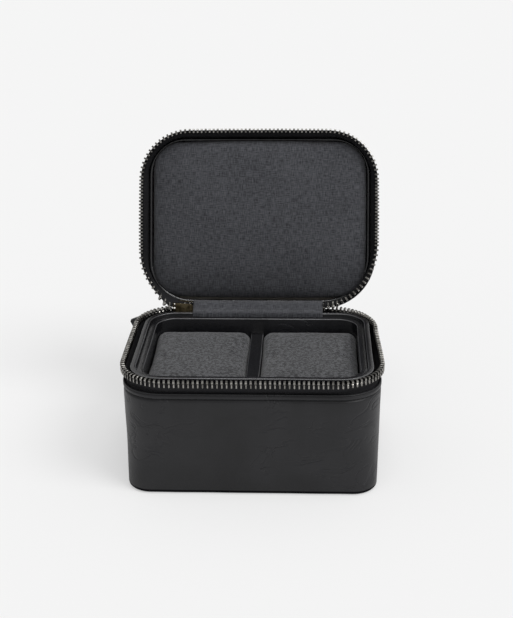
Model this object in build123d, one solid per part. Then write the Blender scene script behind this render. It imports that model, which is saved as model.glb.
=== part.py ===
from build123d import *
from math import cos, pi, radians, sin
import os

# Zippered watch box, millimetres. Origin at the centre of the underside, +Z up, front towards -Y.
# Everything on the lid is drawn with the lid closed and is then turned open about the zip line.

# Overall sizes of the closed box
body_width = 140.0
body_depth = 106.0
corner_radius = 22.0
wall_edge_height = 61.0
lid_edge_length = 14.0
open_angle = 110.0

# Materials
cover_thickness = 1.2
board_thickness = 3.2
floor_board_thickness = 3.0
turned_edge_radius = 4.0
rim_rounding = 0.5
flange_width = 12.0
glue_gap = 0.2

# Zip: height of its centre line over the leather edge, its tape and its teeth
zip_rise = 7.5
zip_outset = 0.3
zip_corner_radius = 25.0
tape_thickness = 0.7
tape_sewn_width = 3.5
tape_upright_from = 3.9
tooth_pitch = 2.54
tooth_width = 1.0
tooth_depth = 2.6
tooth_height = 4.4
tooth_mesh = 0.8
tooth_slot_depth = 2.2
tooth_slot_gap = 0.1
tooth_head_chamfer = 0.5
zip_end_in_slider = 0.2
stop_width = 1.6
stop_height = 1.7
stop_gap = 0.6
tape_end_gap = 0.6

# Inner collar, which rises over the leather edge, and lift-in tray, which stops below the collar
collar_rise = 7.0
collar_thickness = 2.2
tray_drop = 2.0
tray_gap = 1.0
tray_wall_thickness = 3.0
tray_floor_thickness = 2.0
wrap_thickness = 0.5
lining_thickness = 0.6
divider_thickness = 7.5
divider_recess = 9.0
divider_rounding = 2.4

# Watch cushions: room around them in the tray, and how their ends draw in
cushion_recess = 6.0
cushion_end_gap = 4.0
cushion_side_gap = 0.6
cushion_end_draw_in = 4.4
cushion_shoulder_draw_in = 0.7
cushion_shoulder_place = 0.44
cushion_thinning = 0.6
cushion_corner = 7.0
cushion_corner_easing = 0.5
cushion_fabric = 0.8

# Padded lid lining
panel_gap = 0.2
panel_card_thickness = 1.5
panel_clearance = 2.0
panel_crown = 1.6
panel_edge_rounding = 2.0
panel_fabric = 0.8

# Hinge strips
outer_strip_thickness = 1.0
outer_strip_gap = 0.4
outer_strip_bend = 2.0
outer_strip_fold = 0.8
inner_strip_slider_gap = 0.3
inner_strip_thickness = 0.7
inner_strip_tail = 12.0
inner_strip_apex_rise = 2.4
inner_strip_clearance = 0.15
inner_strip_collar_lift = 0.2
inner_strip_panel_lift = 1.5
inner_strip_panel_gap = 0.8
inner_strip_edge_bend = 0.6
inner_strip_bend = 1.2

# Slider, ring and pull
slider_length = 12.0
slider_plate = 1.1
slider_half_height = 4.4
slider_tail_half_height = 3.5
slider_clearance = 0.3
slider_corner = 1.2
slider_nose_gap = 5.4
post_length = 2.6
post_setback = 0.2
post_recess = 0.8
bridge_bar = 0.9
bridge_width = 1.8
bridge_leg = 1.1
bridge_drop = 1.8
ring_radius = 3.0
ring_wire = 1.2
ring_running_gap = 0.1
ring_in_eye_gap = 0.45
strap_width = 6.5
strap_thickness = 1.6
strap_length = 24.0
strap_slope = 25.0
strap_loop_width = 3.0
strap_neck_length = 4.0
strap_corner = 1.2

# Heights and places that follow
half_width = body_width / 2
half_depth = body_depth / 2
zip_half_width = half_width + zip_outset
zip_half_depth = half_depth + zip_outset
zip_z = wall_edge_height + zip_rise
slider_rest_x = zip_half_width - zip_corner_radius
slider_inner_x = slider_rest_x - slider_length / 2
zip_half_gap = slider_inner_x + zip_end_in_slider
inner_strip_width = 2 * (slider_inner_x - inner_strip_slider_gap)
lid_edge_z = zip_z + zip_rise
lid_top_z = lid_edge_z + lid_edge_length
hinge_axis = Axis((0, zip_half_depth, zip_z), (1, 0, 0))
floor_z = cover_thickness + glue_gap
floor_top = floor_z + floor_board_thickness
board_inset = cover_thickness + glue_gap
collar_inset = board_inset + board_thickness + glue_gap
tray_inset = collar_inset + collar_thickness + tray_gap
tray_inner_inset = tray_inset + tray_wall_thickness
tray_floor_z = floor_top + glue_gap
tray_wall_z = tray_floor_z + tray_floor_thickness + glue_gap
lining_top = tray_wall_z + lining_thickness
board_top = wall_edge_height - tape_sewn_width - glue_gap
collar_height = wall_edge_height + collar_rise
tray_height = collar_height - tray_drop
divider_height = tray_height - divider_recess
cushion_top = tray_height - cushion_recess
cushion_length = body_depth - 2 * (tray_inner_inset + cushion_end_gap)
panel_low_point = collar_height + panel_clearance


def outline(inset, radius=None):
    """Rounded rectangle that lies inset from the outside of the box."""
    radius = corner_radius - inset if radius is None else radius
    return RectangleRounded(body_width - 2 * inset, body_depth - 2 * inset, radius)


def slab(inset, low, high, radius=None):
    """Rounded block between two heights."""
    return extrude(Pos(0, 0, low) * outline(inset, radius), high - low)


def ring(outer_inset, inner_inset, low, high):
    """Rounded ring wall between two heights."""
    return slab(outer_inset, low, high) - slab(inner_inset, low, high)


def edges_at(part, height):
    """Horizontal edges of a part at one height."""
    return part.edges().filter_by_position(Axis.Z, height - 0.01, height + 0.01)


def opened(part):
    """Turns a lid piece from closed to the open rest position."""
    return part.rotate(hinge_axis, -open_angle)


def mirrored_to_lid(part):
    """The lid's copy of a base zip piece, across the zip centre line."""
    return mirror(part, Plane.XY.offset(zip_z))


def wrapped_wall(outer_inset, thickness, low, high):
    """A board ring and the leather-look wrap folded over its top."""
    inner_inset = outer_inset + thickness
    core_top = high - wrap_thickness
    wall = ring(outer_inset, inner_inset, low, high)
    wall = fillet(edges_at(wall, high), rim_rounding)
    slot = ring(outer_inset + wrap_thickness, inner_inset - wrap_thickness, low, core_top)
    board_gap = wrap_thickness + glue_gap / 2
    board = ring(outer_inset + board_gap, inner_inset - board_gap, low, core_top - glue_gap)
    return wall - slot, board


def save(part, name):
    """Writes one named piece."""
    part.label = name
    export_step(part, f"parts/{name}.step")


# Base: outer cover with a rounded bottom edge turned under, board box and underside panel

def make_base_cover():
    outside = slab(0, 0, wall_edge_height)
    outside = fillet(edges_at(outside, 0), turned_edge_radius)
    inside = slab(cover_thickness, cover_thickness, wall_edge_height)
    inside = fillet(edges_at(inside, cover_thickness), turned_edge_radius - cover_thickness)
    cover = outside - inside - slab(flange_width, 0, cover_thickness)
    return fillet(edges_at(cover, wall_edge_height), rim_rounding)


def make_floor_board():
    board = slab(board_inset, floor_z, floor_top)
    return fillet(edges_at(board, floor_z), turned_edge_radius - board_inset)


def make_base():
    save(make_base_cover(), "base_cover")
    save(slab(flange_width + glue_gap, 0, cover_thickness), "base_underside_panel")
    save(make_floor_board(), "base_floor_board")
    wall_board_inset = board_inset + board_thickness
    save(ring(board_inset, wall_board_inset, floor_top + glue_gap / 2, board_top), "base_wall_board")


# Inner collar that rises into the lid, and the tray with its divider

def make_tray():
    wrap, board = wrapped_wall(collar_inset, collar_thickness, floor_top + glue_gap / 2, collar_height)
    save(wrap, "collar_wrap")
    save(board, "collar_board")
    save(slab(tray_inset, tray_floor_z, tray_floor_z + tray_floor_thickness), "tray_floor_board")
    wrap, board = wrapped_wall(tray_inset, tray_wall_thickness, tray_wall_z, tray_height)
    save(wrap, "tray_wall_wrap")
    save(board, "tray_wall_board")
    save(slab(tray_inner_inset + glue_gap, tray_wall_z, lining_top), "tray_floor_lining")


def make_divider():
    length = body_depth - 2 * (tray_inner_inset + glue_gap)
    low = lining_top + glue_gap / 2
    height = divider_height - low
    block = Pos(0, 0, low + height / 2) * Box(divider_thickness, length, height)
    top_edges = edges_at(block, divider_height).filter_by(Axis.Y)
    block = fillet(top_edges, divider_rounding)
    core_width = divider_thickness - 2 * wrap_thickness
    core_height = height - wrap_thickness
    core = Pos(0, 0, low + core_height / 2) * Box(core_width, length, core_height)
    core = fillet(edges_at(core, low + core_height).filter_by(Axis.Y), divider_rounding - wrap_thickness)
    small_width = core_width - glue_gap
    small_height = core_height - glue_gap / 2
    small = Pos(0, 0, low + small_height / 2) * Box(small_width, length, small_height)
    small = fillet(edges_at(small, low + small_height).filter_by(Axis.Y), divider_rounding - wrap_thickness)
    save(block - core, "divider_wrap")
    save(small, "divider_core")


# Cushions: a roll for the watch strap, fullest in the middle, with drawn-in rounded ends

def cushion_form(shrink):
    """Loft along X through rounded sections of one cushion, about its own centre."""
    width = half_width - tray_inner_inset - divider_thickness / 2 - 2 * cushion_side_gap
    low = lining_top + glue_gap
    height = cushion_top - low
    shoulder = cushion_shoulder_place
    stations = (
        (-0.5, cushion_end_draw_in),
        (-shoulder, cushion_shoulder_draw_in),
        (0.0, 0.0),
        (shoulder, cushion_shoulder_draw_in),
        (0.5, cushion_end_draw_in),
    )
    sections = []
    for place, draw_in in stations:
        size_y = cushion_length - 2 * (draw_in + shrink)
        size_z = height - 2 * (cushion_thinning * draw_in + shrink)
        corner = cushion_corner - cushion_corner_easing * draw_in
        origin = (place * (width - 2 * shrink), 0, low + height / 2)
        plane = Plane(origin=origin, x_dir=(0, 1, 0), z_dir=(1, 0, 0))
        sections.append(plane * RectangleRounded(size_y, size_z, corner))
    return loft(sections, ruled=True)


def make_cushions():
    centre = divider_thickness / 2 + half_width - tray_inner_inset
    cover = cushion_form(0)
    core = cushion_form(cushion_fabric + glue_gap / 2)
    cavity = cushion_form(cushion_fabric)
    for side, name in ((-1, "left"), (1, "right")):
        place = Pos(side * centre / 2, 0, 0)
        save(place * (cover - cavity), f"cushion_{name}_cover")
        save(place * core, f"cushion_{name}_foam")


# Lid: cover, boards and the crowned lining panel

def make_lid():
    outside = slab(0, lid_edge_z, lid_top_z)
    outside = fillet(edges_at(outside, lid_top_z), turned_edge_radius)
    inner_top = lid_top_z - cover_thickness
    inside = slab(cover_thickness, lid_edge_z, inner_top)
    inside = fillet(edges_at(inside, inner_top), turned_edge_radius - cover_thickness)
    cover = fillet(edges_at(outside - inside, lid_edge_z), rim_rounding)
    save(opened(cover), "lid_cover")
    board_high = inner_top - glue_gap
    board_low = board_high - floor_board_thickness
    top_board = slab(board_inset, board_low, board_high)
    top_board = fillet(edges_at(top_board, board_high), turned_edge_radius - board_inset)
    save(opened(top_board), "lid_top_board")
    wall_low = lid_edge_z + tape_sewn_width + glue_gap
    wall_high = board_low - glue_gap / 2
    save(opened(ring(board_inset, board_inset + board_thickness, wall_low, wall_high)), "lid_wall_board")
    make_lining_panel(wall_high)


def dome(low, radius):
    """Ball whose lowest point is at low, with its poles and its seam off to the sides."""
    return Pos(0, 0, low + radius) * Rot(90, 0, 0) * Sphere(radius)


def make_lining_panel(high):
    inset = board_inset + board_thickness + panel_gap
    card_low = high - panel_card_thickness
    save(opened(slab(inset, card_low, high)), "lining_card")
    foam_high = card_low - glue_gap / 2
    crown_radius = (half_depth - inset) ** 2 / (2 * panel_crown)
    pad = slab(inset, panel_low_point, foam_high) & dome(panel_low_point, crown_radius)
    upright = pad.edges().filter_by(Axis.Z)
    middle = (panel_low_point + foam_high) / 2
    rim = [edge for edge in pad.edges() if edge not in upright and edge.center().Z < middle]
    pad = fillet(rim, panel_edge_rounding)
    cloth_z = panel_low_point + panel_fabric
    cavity = slab(inset + panel_fabric, panel_low_point, foam_high) & dome(cloth_z, crown_radius)
    foam = slab(inset + panel_fabric + glue_gap / 2, panel_low_point, foam_high)
    foam = foam & dome(cloth_z + glue_gap, crown_radius)
    save(opened(pad - cavity), "lining_fabric")
    save(opened(foam), "lining_foam")


# Zip: tapes sewn inside the leather edges, two rows of teeth that mesh when closed

tape_low_inset = cover_thickness + glue_gap / 2 + tape_thickness / 2
tape_low_z = wall_edge_height - tape_sewn_width
tooth_root_z = zip_z + tooth_mesh - tooth_height
tape_end_x = zip_half_gap - stop_gap - stop_width - tape_end_gap


def zip_prism(grow, low, high):
    """Block bounded by the zip's loop, grown outwards, between two heights."""
    radius = zip_corner_radius + grow
    return slab(-zip_outset - grow, low, high, radius)


def tape_body(grow):
    """Block bounded by one face of the tape: sewn band, flare and upright edge."""
    low_inset = tape_low_inset - grow
    flare_top = zip_z - tape_upright_from
    sewn = slab(low_inset, tape_low_z, wall_edge_height)
    foot = Pos(0, 0, wall_edge_height) * outline(low_inset)
    head = Pos(0, 0, flare_top) * outline(-zip_outset - grow, zip_corner_radius + grow)
    flare = loft([foot, head], ruled=True)
    upright = zip_prism(grow, flare_top, tooth_root_z + tooth_slot_depth - tooth_slot_gap)
    return sewn + flare + upright


def back_notch(left, right):
    """Block that clears the zip from the back wall between two places along X."""
    span = right - left
    return Pos(left + span / 2, half_depth, zip_z) * Box(span, corner_radius, 4 * zip_rise)


def make_tapes():
    tape = tape_body(tape_thickness / 2) - tape_body(-tape_thickness / 2)
    save(tape - back_notch(-tape_end_x, tape_end_x), "base_zip_tape")
    lid_start = -(slider_rest_x + slider_length / 2 + slider_nose_gap)
    lid_tape = mirrored_to_lid(tape - back_notch(lid_start, tape_end_x))
    save(opened(lid_tape), "lid_zip_tape")


def zip_place(distance):
    """Point on the zip loop and its heading, from the right end of the back, round the front."""
    straight_x = zip_half_width - zip_corner_radius
    straight_y = zip_half_depth - zip_corner_radius
    arc = zip_corner_radius * pi / 2
    corners = ((1, 1), (1, -1), (-1, -1), (-1, 1))
    runs = (straight_x - zip_half_gap, 2 * straight_y, 2 * straight_x, 2 * straight_y)
    starts = (
        (zip_half_gap, zip_half_depth),
        (zip_half_width, straight_y),
        (straight_x, -zip_half_depth),
        (-zip_half_width, -straight_y),
    )
    left = distance
    for index, heading in enumerate((0, -90, -180, -270)):
        run, start, corner = runs[index], starts[index], corners[index]
        along = (cos(radians(heading)), sin(radians(heading)))
        if left <= run:
            return start[0] + left * along[0], start[1] + left * along[1], heading
        left -= run
        if left <= arc:
            turn = left / zip_corner_radius
            across = radians(heading + 90) - turn
            centre = (corner[0] * straight_x, corner[1] * straight_y)
            x = centre[0] + zip_corner_radius * cos(across)
            y = centre[1] + zip_corner_radius * sin(across)
            return x, y, heading - turn * 180 / pi
        left -= arc
    return -straight_x + left, zip_half_depth, 0


def zip_length():
    """Length of one row of teeth."""
    straight_x = zip_half_width - zip_corner_radius
    straight_y = zip_half_depth - zip_corner_radius
    return 2 * (straight_x - zip_half_gap) + 4 * straight_y + 2 * straight_x + 2 * pi * zip_corner_radius


def tooth():
    """One tooth about the zip centre line: a chamfered head and two legs astride the tape."""
    half = tooth_depth / 2
    slot = tape_thickness / 2 + tooth_slot_gap
    root = tooth_mesh - tooth_height
    shoulder = root + tooth_slot_depth
    right = (
        (half, root),
        (half, tooth_mesh - tooth_head_chamfer),
        (half - tooth_head_chamfer, tooth_mesh),
    )
    left = tuple((-y, z) for y, z in reversed(right))
    slot_points = ((-slot, root), (-slot, shoulder), (slot, shoulder), (slot, root))
    profile = make_face(Polyline(*right, *left, *slot_points, close=True))
    blank = extrude(Plane.YZ * profile, tooth_width / 2, both=True)
    return Pos(0, 0, zip_z) * blank


def tooth_row(first, start, end):
    """Teeth at even steps between two distances along the zip."""
    blank = tooth()
    teeth = []
    distance = first
    while distance < end:
        if distance > start:
            x, y, heading = zip_place(distance)
            teeth.append(Pos(x, y, 0) * Rot(0, 0, heading) * blank)
        distance += tooth_pitch
    return teeth


def make_teeth():
    length = zip_length()
    base_row = tooth_row(tooth_pitch / 4, 0, length)
    in_slider = slider_rest_x + slider_length / 2 + slider_nose_gap - zip_half_gap
    lid_row = tooth_row(3 * tooth_pitch / 4, 0, length - in_slider - tooth_width / 2)
    save(Compound(children=base_row), "base_zip_teeth")
    save(Compound(children=[opened(mirrored_to_lid(piece)) for piece in lid_row]), "lid_zip_teeth")


def make_stops():
    """Metal stops crimped on the tape beyond the last teeth."""
    slot = tape_thickness + 2 * tooth_slot_gap
    blank = Box(stop_width, tooth_depth, stop_height) - Box(stop_width, slot, stop_height)
    stop_x = zip_half_gap - stop_gap - stop_width / 2
    level = tooth_root_z + stop_height / 2
    right = Pos(stop_x, zip_half_depth, level) * blank
    left = Pos(-stop_x, zip_half_depth, level) * blank
    save(Compound(children=[right, left]), "base_zip_stops")
    save(opened(mirrored_to_lid(right)), "lid_zip_stop")


# Slider with its bridge, ring and leather pull. It rides the base row into the back left corner

arc_bow = (slider_length / 2) ** 2 / (2 * zip_corner_radius)
plate_out = tooth_depth / 2 + slider_clearance
plate_in = tooth_depth / 2 + slider_clearance + arc_bow
wire_out = plate_out + slider_plate + ring_in_eye_gap + ring_wire / 2
bar_in = wire_out + ring_wire / 2 + ring_in_eye_gap
ring_near_x = slider_length / 2 - bridge_leg - ring_in_eye_gap - ring_wire / 2 - bridge_leg


def slider_place():
    """The slider's own axes: X forward along the zip, Y towards the inside, Z up."""
    return Pos(-slider_rest_x, zip_half_depth, zip_z) * Rot(0, 0, 180)


def plate(near, far):
    """Slider plate, taller at the nose, between two distances outwards from the chain."""
    nose = slider_length / 2
    shape = Polyline(
        (-nose, -slider_tail_half_height),
        (nose, -slider_half_height),
        (nose, slider_half_height),
        (-nose, slider_tail_half_height),
        close=True,
    )
    body = extrude(Plane.XZ * make_face(shape), far - near)
    body = fillet(body.edges().filter_by(Axis.Y), slider_corner)
    return Pos(0, -near, 0) * body


def make_slider():
    outer_face = plate_out + slider_plate
    inner_face = -(plate_in + slider_plate)
    body = plate(plate_out, outer_face) + plate(inner_face, -plate_in)
    post_low = tooth_mesh + slider_clearance
    post_high = slider_half_height - post_recess
    post_x = slider_length / 2 - post_length / 2 - post_setback
    post_span = outer_face - inner_face
    post_y = -(outer_face + inner_face) / 2
    post_mid = (post_low + post_high) / 2
    post = Pos(post_x, post_y, post_mid) * Box(post_length, post_span, post_high - post_low)
    bar_out = bar_in + bridge_bar
    leg_x = slider_length / 2 - bridge_leg
    bar = Pos(0, -(bar_in + bar_out) / 2, -bridge_drop) * Box(2 * leg_x, bar_out - bar_in, bridge_width)
    leg_span = bar_out - outer_face
    legs = [
        Pos(side * (leg_x - bridge_leg / 2), -(outer_face + leg_span / 2), -bridge_drop)
        * Box(bridge_leg, leg_span, bridge_width)
        for side in (-1, 1)
    ]
    return slider_place() * (body + post + bar + legs[0] + legs[1])


def ring_centre():
    return Pos(ring_near_x + ring_radius, -wire_out, -bridge_drop)


def torus_across(minor):
    """Torus that lies in the plane of the slider's plates."""
    return Rot(90, 0, 0) * Torus(ring_radius, minor)


def make_strap():
    """Leather pull folded round the ring, sloping down from it."""
    half_thick = strap_thickness / 2
    loop_radius = ring_wire / 2 + ring_running_gap + half_thick
    loop = Pos(ring_radius, 0, 0) * Cylinder(loop_radius, strap_loop_width)
    neck_from = ring_radius
    neck_to = ring_radius + strap_neck_length
    end = neck_from + strap_length
    half_loop = strap_loop_width / 2
    half_strap = strap_width / 2
    shape = Polyline(
        (neck_from, -half_loop),
        (neck_to, -half_strap),
        (end, -half_strap),
        (end, half_strap),
        (neck_to, half_strap),
        (neck_from, half_loop),
        close=True,
    )
    tab = extrude(Plane.XZ * make_face(shape), half_thick, both=True)
    tab = fillet(tab.edges().filter_by(Axis.Y).group_by(Axis.X)[-1], strap_corner)
    strap = loop + tab - torus_across(ring_wire / 2 + ring_running_gap)
    return slider_place() * ring_centre() * Rot(0, strap_slope, 0) * strap


def make_pull():
    save(make_slider(), "zip_slider")
    save(slider_place() * ring_centre() * torus_across(ring_wire / 2), "pull_ring")
    save(make_strap(), "pull_strap")


# Hinge: a leather strip outside, and a fabric strip from behind the lining to behind the tray

def bent_strip(points, radii, thickness, width):
    """Strip of even thickness along a bent path in the YZ plane."""
    path = FilletPolyline(*[(0, y, z) for y, z in points], radius=radii)
    start_y, start_z = points[0]
    next_y, next_z = points[1]
    direction = (0, next_y - start_y, next_z - start_z)
    section = Plane(origin=(0, start_y, start_z), x_dir=(1, 0, 0), z_dir=direction) * Rectangle(width, thickness)
    return sweep(section, path)


def open_point(behind, above):
    """A lid point, given from the hinge with the lid closed, as (y, z) with the lid open."""
    turn = radians(open_angle)
    y = zip_half_depth + behind * cos(turn) + above * sin(turn)
    z = zip_z - behind * sin(turn) + above * cos(turn)
    return y, z


def make_outer_strip():
    sewn_y = half_depth - cover_thickness - glue_gap / 2 - outer_strip_thickness / 2
    offset = sewn_y - zip_half_depth
    upright = tape_upright_from
    width = 2 * (tape_end_x - outer_strip_gap)
    points = (
        (sewn_y, tape_low_z),
        (sewn_y, wall_edge_height),
        (zip_half_depth, zip_z - upright),
        (zip_half_depth, zip_z + outer_strip_thickness),
        open_point(0, upright),
        open_point(offset, zip_rise),
        open_point(offset, zip_rise + tape_sewn_width),
    )
    bend = outer_strip_bend
    return bent_strip(points, (bend, bend, outer_strip_fold, bend, bend), outer_strip_thickness, width)


def make_inner_strip():
    half = inner_strip_thickness / 2
    tray_y = half_depth - tray_inset + inner_strip_clearance + half
    over_collar = collar_height + inner_strip_clearance + half
    panel_y = -(board_inset + board_thickness + panel_gap + zip_outset) + inner_strip_clearance + half
    behind_panel = panel_y + inner_strip_panel_gap
    lid_high = zip_rise + tape_sewn_width - glue_gap
    points = (
        (tray_y, collar_height - inner_strip_tail),
        (tray_y, over_collar),
        (half_depth - collar_inset, over_collar + inner_strip_collar_lift),
        (zip_half_depth - tooth_depth / 2, zip_z + inner_strip_apex_rise),
        open_point(behind_panel, panel_low_point - zip_z + inner_strip_panel_lift),
        open_point(behind_panel, lid_high),
    )
    bend = inner_strip_bend
    return bent_strip(points, (inner_strip_edge_bend, bend, bend, bend), inner_strip_thickness, inner_strip_width)


def make_hinge():
    save(make_outer_strip(), "hinge_leather_strip")
    save(make_inner_strip(), "hinge_fabric_strip")


os.makedirs("parts", exist_ok=True)
make_base()
make_tray()
make_divider()
make_cushions()
make_lid()
make_tapes()
make_teeth()
make_stops()
make_pull()
make_hinge()
print("length of one row of teeth", round(zip_length(), 1))
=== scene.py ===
import bmesh
import bpy
from math import asin, cos, hypot, pi, radians, sin
from mathutils import Matrix, Vector, noise


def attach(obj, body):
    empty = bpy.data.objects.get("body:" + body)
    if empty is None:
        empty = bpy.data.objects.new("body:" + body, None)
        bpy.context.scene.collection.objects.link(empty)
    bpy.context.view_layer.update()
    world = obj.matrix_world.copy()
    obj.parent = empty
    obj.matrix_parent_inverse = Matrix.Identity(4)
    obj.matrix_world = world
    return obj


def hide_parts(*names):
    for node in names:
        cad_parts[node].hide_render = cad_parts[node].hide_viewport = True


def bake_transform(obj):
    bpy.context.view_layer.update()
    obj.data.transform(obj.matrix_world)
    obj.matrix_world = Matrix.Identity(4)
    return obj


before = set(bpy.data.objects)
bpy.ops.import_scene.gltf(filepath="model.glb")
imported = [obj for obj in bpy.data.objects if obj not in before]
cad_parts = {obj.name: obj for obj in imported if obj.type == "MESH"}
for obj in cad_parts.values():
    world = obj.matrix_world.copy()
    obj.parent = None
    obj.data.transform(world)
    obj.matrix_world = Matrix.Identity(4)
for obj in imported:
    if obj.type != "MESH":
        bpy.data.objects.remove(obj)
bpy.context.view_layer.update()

# View and light
# The box stands on a seamless pale floor under an even studio sky, with a soft key light from
# the front right and a soft box overhead. The camera looks down on it, a little from the right.
mm = 0.001
scene = bpy.context.scene
scene.view_settings.view_transform = "Standard"

camera_place = Vector((31.66, -645.33, 337.97)) * mm
camera_yaw = -0.04664
camera_pitch = 0.36846
camera_roll = 0.01141
forward = Vector((
    sin(camera_yaw) * cos(camera_pitch),
    cos(camera_yaw) * cos(camera_pitch),
    -sin(camera_pitch),
))
level_right = Vector((cos(camera_yaw), -sin(camera_yaw), 0))
level_down = forward.cross(level_right)
camera_right = cos(camera_roll) * level_right + sin(camera_roll) * level_down
camera_down = cos(camera_roll) * level_down - sin(camera_roll) * level_right
camera_data = bpy.data.cameras.new("camera")
camera_data.sensor_width = 36.0
camera_data.lens = 72.18
camera_data.clip_start = 0.01
camera = bpy.data.objects.new("camera", camera_data)
scene.collection.objects.link(camera)
camera.matrix_world = Matrix.Translation(camera_place) @ Matrix((
    (camera_right.x, -camera_down.x, -forward.x),
    (camera_right.y, -camera_down.y, -forward.y),
    (camera_right.z, -camera_down.z, -forward.z),
)).to_4x4()
scene.camera = camera


class Value:
    """A shader socket that takes part in sums, which add Math nodes."""

    def __init__(self, finish, socket):
        self.finish = finish
        self.socket = socket

    def work(self, operation, first, second=0.0):
        return self.finish.node("Math", {0: first, 1: second}, operation=operation)

    def __add__(self, other):
        return self.work("ADD", self, other)

    def __sub__(self, other):
        return self.work("SUBTRACT", self, other)

    def __mul__(self, other):
        return self.work("MULTIPLY", self, other)

    def __rsub__(self, other):
        return self.work("SUBTRACT", other, self)

    def __abs__(self):
        return self.work("ABSOLUTE", self)

    __radd__ = __add__
    __rmul__ = __mul__

    def sine(self):
        return self.work("SINE", self)

    def within(self, low, high):
        """0 below low, 1 above high and a smooth step between them."""
        inputs = {"Value": self, "From Min": low, "From Max": high}
        return self.finish.node("MapRange", inputs, interpolation_type="SMOOTHSTEP")


class Finish:
    """One material and the nodes that make its colour, gloss and relief."""

    def __init__(self, name):
        self.material = bpy.data.materials.new(name)
        self.material.use_nodes = True
        self.tree = self.material.node_tree
        self.shader = self.tree.nodes["Principled BSDF"]

    def node(self, kind, inputs=None, output=0, **settings):
        made = self.tree.nodes.new("ShaderNode" + kind)
        for key, value in settings.items():
            setattr(made, key, value)
        for key, value in (inputs or {}).items():
            self.feed(made.inputs[key], value)
        return Value(self, made.outputs[output])

    def feed(self, socket, value):
        if isinstance(value, Value):
            self.tree.links.new(value.socket, socket)
        else:
            socket.default_value = value

    def set(self, **inputs):
        """Feeds the shader's own sockets, named with underscores for spaces."""
        for key, value in inputs.items():
            self.feed(self.shader.inputs[key.replace("_", " ")], value)

    def place(self):
        """The point on the piece, in metres."""
        return self.node("TexCoord", output="Object")

    def cloth_place(self):
        """The point on the flat cloth, in metres, and its two coordinates."""
        spot = self.node("UVMap")
        along = self.node("SeparateXYZ", {0: spot}, output="X")
        across = self.node("SeparateXYZ", {0: spot}, output="Y")
        return spot, along, across

    def scaled(self, place, x, y, z):
        return self.node("Mapping", {"Vector": place, "Scale": (x, y, z)})

    def cloud(self, place, scale, detail=2.0, distortion=0.0, roughness=0.5):
        inputs = {
            "Vector": place,
            "Scale": scale,
            "Detail": detail,
            "Distortion": distortion,
            "Roughness": roughness,
        }
        return self.node("TexNoise", inputs)

    def between(self, amount, first, second):
        """A colour from first to second by amount."""
        inputs = {"Factor": amount, 6: (*first, 1), 7: (*second, 1)}
        return self.node("Mix", inputs, output=2, data_type="RGBA")

    def relief(self, height, depth):
        """The surface direction over bumps of the given depth, in metres."""
        return self.node("Bump", {"Height": height, "Distance": depth})


floor_colour = (0.9, 0.9, 0.9)
floor_glow = 0.5
sky_strength = 0.46
sky_seen = 0.905
# Each lamp: strength, softness, height over the horizon and side, from the front to the right
lamps = {
    "key": (1.2, 30.0, 48.0, 62.0),
    "overhead": (0.9, 34.0, 80.0, 25.0),
}
floor_size = 12.0


def make_floor():
    mesh = bpy.data.meshes.new("floor")
    half = floor_size / 2
    corners = [(-half, -half, 0), (half, -half, 0), (half, half, 0), (-half, half, 0)]
    mesh.from_pydata(corners, [], [(0, 1, 2, 3)])
    floor = bpy.data.objects.new("floor", mesh)
    scene.collection.objects.link(floor)
    finish = Finish("pale paper")
    finish.set(Base_Color=(*floor_colour, 1), Roughness=1.0, Specular_IOR_Level=0.0)
    seen = finish.node("LightPath", output="Is Camera Ray")
    paper = Value(finish, finish.shader.outputs[0])
    glow = finish.node("Emission", {"Color": (sky_seen, sky_seen, sky_seen, 1)})
    mixed = finish.node("MixShader", {0: seen * floor_glow, 1: paper, 2: glow})
    finish.feed(finish.tree.nodes["Material Output"].inputs[0], mixed)
    mesh.materials.append(finish.material)


def make_sky():
    world = bpy.data.worlds.new("studio")
    world.use_nodes = True
    scene.world = world
    tree = world.node_tree
    light = tree.nodes["Background"]
    light.inputs["Color"].default_value = (1, 1, 1, 1)
    path = tree.nodes.new("ShaderNodeLightPath")
    mix = tree.nodes.new("ShaderNodeMix")
    mix.inputs[2].default_value = sky_strength
    mix.inputs[3].default_value = sky_seen
    tree.links.new(path.outputs["Is Camera Ray"], mix.inputs[0])
    tree.links.new(mix.outputs[0], light.inputs["Strength"])


def make_lamp(name, strength, softness, height, side):
    """A sun reaches the whole floor evenly, so only the box's shadow shows on it."""
    data = bpy.data.lights.new(name, "SUN")
    data.energy = strength
    data.angle = radians(softness)
    lamp = bpy.data.objects.new(name, data)
    scene.collection.objects.link(lamp)
    height = radians(height)
    side = radians(side)
    towards = Vector((cos(height) * sin(side), -cos(height) * cos(side), sin(height)))
    lamp.rotation_euler = towards.to_track_quat("Z", "Y").to_euler()


make_floor()
make_sky()
for name, lamp in lamps.items():
    make_lamp(name, *lamp)

# Base cover
# One piece of black leather-look sheet wrapped round the base boards. Its bottom edge is turned
# under the floor, and its top edge is folded in, where it is stitched to the zip tape.
body_width = 140.0
body_depth = 106.0
corner_radius = 22.0
wall_edge = 61.0
leather_thickness = 1.2
bottom_radius = 2.4
bottom_draw_in = 1.2
turned_flange = 12.0
fold_radius = 0.45
fold_stand = 0.3
fold_drop = 0.4
crease_drop = 1.15
crease_depth = 0.85
stitch_drop = 4.0
stitch_groove = 0.95
# Height of the band of painted shade at the foot of the base
foot_shade_height = 2.7
foot_squareness = 7.0
# What is added to each corner's radius, from the back right round the front to the back left
even_corners = (0.0, 0.0, 0.0, 0.0)
lid_corners = (9.0, 2.5, 2.5, 6.0)
least_radius = 0.3
corner_steps = 14
side_step = 3.0
hinge_y = 53.3
zip_z = 68.5
zip_rise = 7.5
row_corner_run = 3.0
open_angle = radians(110)


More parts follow.
